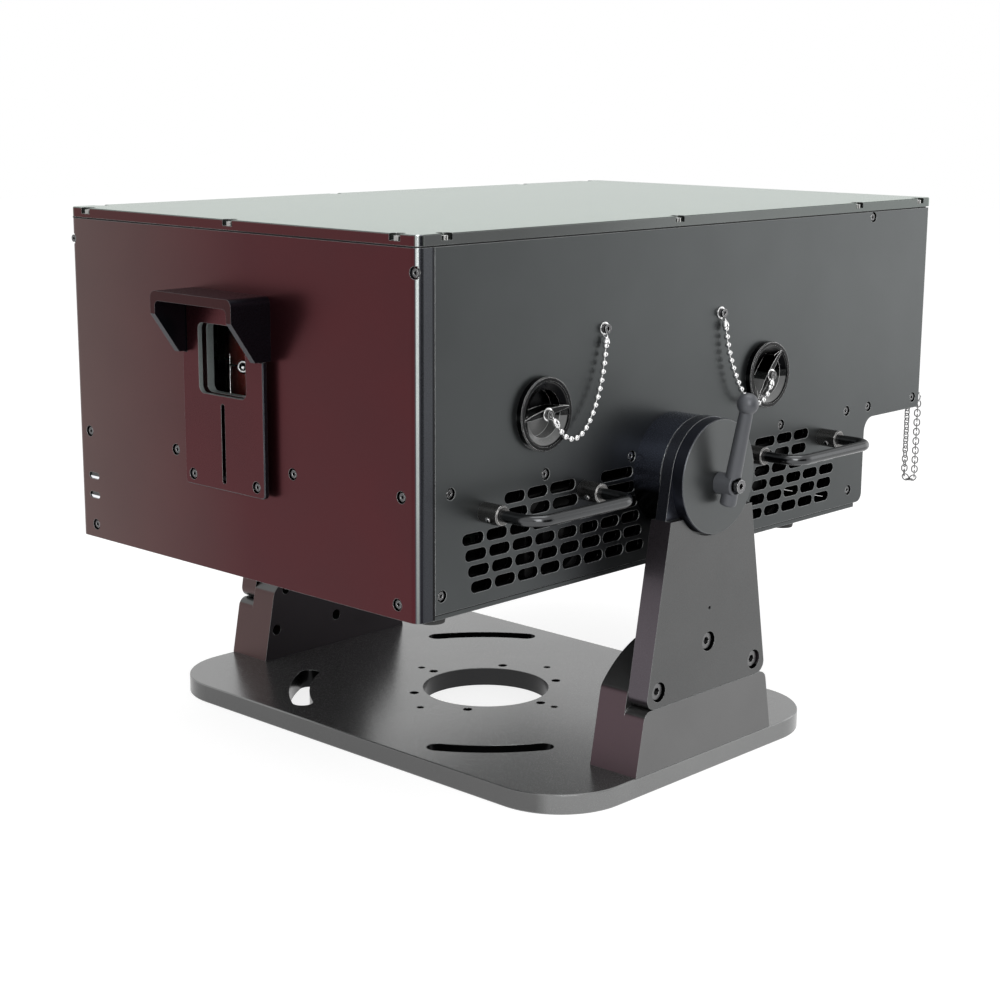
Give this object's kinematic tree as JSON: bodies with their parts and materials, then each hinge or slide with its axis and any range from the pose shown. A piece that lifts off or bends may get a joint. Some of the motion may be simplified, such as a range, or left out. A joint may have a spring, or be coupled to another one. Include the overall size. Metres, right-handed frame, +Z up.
{
  "type": "laser show projector",
  "caption": "Laser show projector: box housing with hooded beam aperture, side vents, carry handles and tethered port caps, tilting between clamped arms on a slotted base plate.",
  "frame": {"origin": "centre of the base plate's large hole, on the plate's underside", "axes": "+Z up out of the base plate; the beam leaves towards -Y; +X is the side with the access ports"},
  "size_m": [0.5216, 0.6726, 0.4065],
  "materials": {
    "black_anodised": "fine bead-blasted, black anodised, satin",
    "dark_steel": "black oxide socket screws",
    "bright_steel": "bright nickel-plated or stainless",
    "lever_grey": "satin dark grey",
    "bare_aluminium": "machined",
    "black_rubber": "matt",
    "black_plastic": "satin moulded",
    "clear_glass": "coated clear",
    "coated_mirror": "polished",
    "lit_lens": "milky diffuser",
    "board_green": "circuit board with parts",
    "switch_chrome": "polished"
  },
  "bodies": {
    "bracket": {"base_plate": "black_anodised", "foot_block_right": "black_anodised", "foot_block_left": "black_anodised", "arm_right": "black_anodised", "arm_left": "black_anodised", "arm_screws": "dark_steel", "base_screws": "dark_steel", "clamp_discs": "black_anodised"},
    "head": {"optical_bench": "bare_aluminium", "front_panel": "black_anodised", "side_panel_right": "black_anodised", "side_panel_left": "black_anodised", "top_lid": "black_anodised", "lid_gasket": "black_rubber", "bottom_cover": "black_anodised", "rear_panel": "black_anodised", "lower_rear_panel": "black_anodised", "pivot_drums": "black_anodised", "panel_screws": "dark_steel", "lid_screws": "bright_steel", "housing_feet": "black_rubber", "handle_front_right": "black_anodised", "handle_rear_right": "black_anodised", "handle_front_left": "black_anodised", "handle_rear_left": "black_anodised", "handle_collars": "black_anodised", "collar_set_screws": "bright_steel", "aperture_hood": "black_anodised", "aperture_plate": "black_anodised", "output_window": "clear_glass", "indicator_lenses": "lit_lens", "chain_tabs": "bright_steel", "tether_chain_front": "bright_steel", "tether_chain_rear": "bright_steel", "dust_cap_chain": "bright_steel", "laser_modules": "black_anodised", "mirror_mounts": "bare_aluminium", "combiner_mirrors": "coated_mirror", "galvo_block": "bare_aluminium", "galvo_motors": "bare_aluminium", "shutter_solenoid": "black_plastic", "power_supply": "bare_aluminium", "driver_boards": "board_green", "fan_frames": "black_plastic", "signal_sockets": "black_plastic", "mains_inlet": "black_plastic", "key_switch": "switch_chrome"},
    "lever_right": {"clamp_lever_right": "lever_grey", "clamp_screw_right": "dark_steel"},
    "lever_left": {"clamp_lever_left": "lever_grey", "clamp_screw_left": "dark_steel"},
    "mask": {"mask_blade": "black_anodised"},
    "cap_front": {"port_cap_front": "black_plastic"},
    "cap_rear": {"port_cap_rear": "black_plastic"},
    "scan_mirror_x": {"galvo_mirror_x": "coated_mirror"},
    "scan_mirror_y": {"galvo_mirror_y": "coated_mirror"},
    "shutter": {"shutter_flag": "black_anodised"},
    "rotor_front": {"fan_rotor_front": "black_plastic"},
    "rotor_rear": {"fan_rotor_rear": "black_plastic"},
    "key_core": {"key": "bright_steel"}
  },
  "joints": [
    {"name": "tilt", "type": "hinge", "parent": "bracket", "child": "head", "pos_m": [0, 0, 0.2235], "axis": [1, 0, 0], "range_deg": [-25, 25]},
    {"name": "clamp_right", "type": "hinge", "parent": "bracket", "child": "lever_right", "pos_m": [0.23, 0, 0.2192], "axis": [1, 0, 0], "range_deg": [-90, 90]},
    {"name": "clamp_left", "type": "hinge", "parent": "bracket", "child": "lever_left", "pos_m": [-0.23, 0, 0.2192], "axis": [1, 0, 0], "range_deg": [-90, 90]},
    {"name": "mask_slide", "type": "slide", "parent": "head", "child": "mask", "axis": [0, 0, 1], "range_m": [0, 0.045]},
    {"name": "cap_front_twist", "type": "hinge", "parent": "head", "child": "cap_front", "pos_m": [0.185, -0.141, 0.281], "axis": [1, 0, 0], "range_deg": [0, 90]},
    {"name": "cap_rear_twist", "type": "hinge", "parent": "head", "child": "cap_rear", "pos_m": [0.185, 0.115, 0.281], "axis": [1, 0, 0], "range_deg": [0, 90]},
    {"name": "scan_x", "type": "hinge", "parent": "head", "child": "scan_mirror_x", "pos_m": [0, -0.21, 0.3285], "axis": [0, 1, 0], "range_deg": [-12, 12]},
    {"name": "scan_y", "type": "hinge", "parent": "head", "child": "scan_mirror_y", "pos_m": [0, -0.21, 0.3102], "axis": [1, 0, 0], "range_deg": [-12, 12]},
    {"name": "shutter_swing", "type": "hinge", "parent": "head", "child": "shutter", "pos_m": [-0.062, -0.21, 0.2965], "axis": [1, 0, 0], "range_deg": [0, 45], "stiffness_Nm_per_rad": 0.01, "springref_deg": -22.92},
    {"name": "fan_front_spin", "type": "hinge", "parent": "head", "child": "rotor_front", "pos_m": [0.158, -0.121, 0.1945], "axis": [1, 0, 0], "continuous": true},
    {"name": "fan_rear_spin", "type": "hinge", "parent": "head", "child": "rotor_rear", "pos_m": [0.158, 0.121, 0.1945], "axis": [1, 0, 0], "continuous": true},
    {"name": "key_turn", "type": "hinge", "parent": "head", "child": "key_core", "pos_m": [-0.06, 0.341, 0.3065], "axis": [0, 1, 0], "range_deg": [0, 90]}
  ]
}
